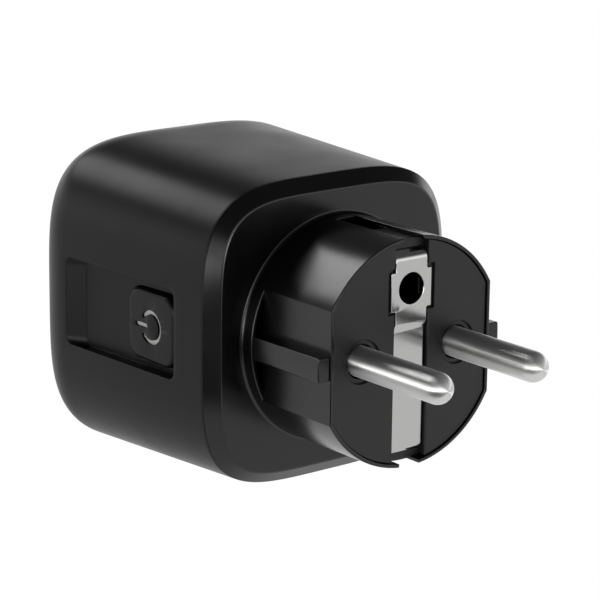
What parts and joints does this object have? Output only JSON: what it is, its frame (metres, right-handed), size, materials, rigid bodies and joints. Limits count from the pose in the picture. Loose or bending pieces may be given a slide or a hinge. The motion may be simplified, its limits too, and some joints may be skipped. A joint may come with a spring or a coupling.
{
  "type": "smart plug",
  "caption": "Black Wi-Fi smart plug with a CEE 7/7 plug, a CEE 7/3 socket on the other side, and a push button with a power symbol in a side pocket.",
  "frame": {"origin": "centre of the plug's face, in the plane of its outer lip", "axes": "+X from the neutral pin to the live pin and the side with the button, +Y the way the pins point, +Z to the earth hole"},
  "size_m": [0.0516, 0.084, 0.0516],
  "materials": {
    "housing_plastic": "satin moulded black polycarbonate and ABS",
    "cover_plastic": "smooth moulded black polycarbonate",
    "carrier_plastic": "fine satin moulded black polyamide",
    "nickel": "nickel plated brass",
    "brass": "rolled brass strip",
    "copper_alloy": "stamped copper alloy",
    "spring_steel": "drawn spring steel",
    "tinned_steel": "tinned steel sheet",
    "white_plastic": "natural white polyester moulding",
    "circuit_board": "green solder mask over glass fibre laminate",
    "radio_board": "blue solder mask over glass fibre laminate",
    "relay_plastic": "blue moulded polyester case",
    "capacitor_plastic": "amber moulded case",
    "capacitor_sleeve": "shrunk sleeve over an aluminium can",
    "ferrite": "sintered ferrite drum",
    "varistor_coat": "dipped epoxy coat",
    "resistor_coat": "fired cement coat",
    "chip_plastic": "moulded epoxy",
    "led_plastic": "cast phosphor resin",
    "guide_plastic": "translucent grey polycarbonate"
  },
  "bodies": {
    "body": {"housing": "housing_plastic", "rear_cover": "cover_plastic", "plug_carrier": "carrier_plastic", "live_pin": "nickel", "neutral_pin": "nickel", "earth_strap": "nickel", "earth_guide": "carrier_plastic", "socket_well": "housing_plastic", "shutter_spring": "spring_steel", "contact_block": "white_plastic", "live_contact": "copper_alloy", "neutral_contact": "copper_alloy", "earth_clips": "nickel", "earth_link": "brass", "main_board": "circuit_board", "board_screws": "spring_steel", "live_bus_bar": "copper_alloy", "neutral_bus_bar": "copper_alloy", "relay": "relay_plastic", "film_capacitor": "capacitor_plastic", "electrolytic_capacitors": "capacitor_sleeve", "inductor": "ferrite", "varistor": "varistor_coat", "fuse_resistor": "resistor_coat", "current_shunt": "copper_alloy", "board_chips": "chip_plastic", "wifi_board": "radio_board", "wifi_shield": "tinned_steel", "button_board": "circuit_board", "switch_body": "chip_plastic", "indicator_led": "led_plastic"},
    "button": {"button_cap": "housing_plastic", "light_guide": "guide_plastic"},
    "plunger": {"switch_plunger": "white_plastic"},
    "shutter": {"shutter": "white_plastic"}
  },
  "joints": [
    {"name": "button_press", "type": "slide", "parent": "body", "child": "button", "axis": [-1, 0, 0], "range_m": [0, 0.0005], "stiffness_N_per_m": 400, "springref_m": -0.001},
    {"name": "plunger_travel", "type": "slide", "parent": "body", "child": "plunger", "axis": [-1, 0, 0], "range_m": [0, 0.0005]},
    {"name": "shutter_turn", "type": "hinge", "parent": "body", "child": "shutter", "pos_m": [0, -0.0445, 0], "axis": [0, 1, 0], "range_deg": [0, 36], "stiffness_Nm_per_rad": 0.002, "springref_deg": -17.19}
  ],
  "couplings": [
    {"joint": "plunger_travel", "follows": "button_press", "ratio": 1}
  ]
}
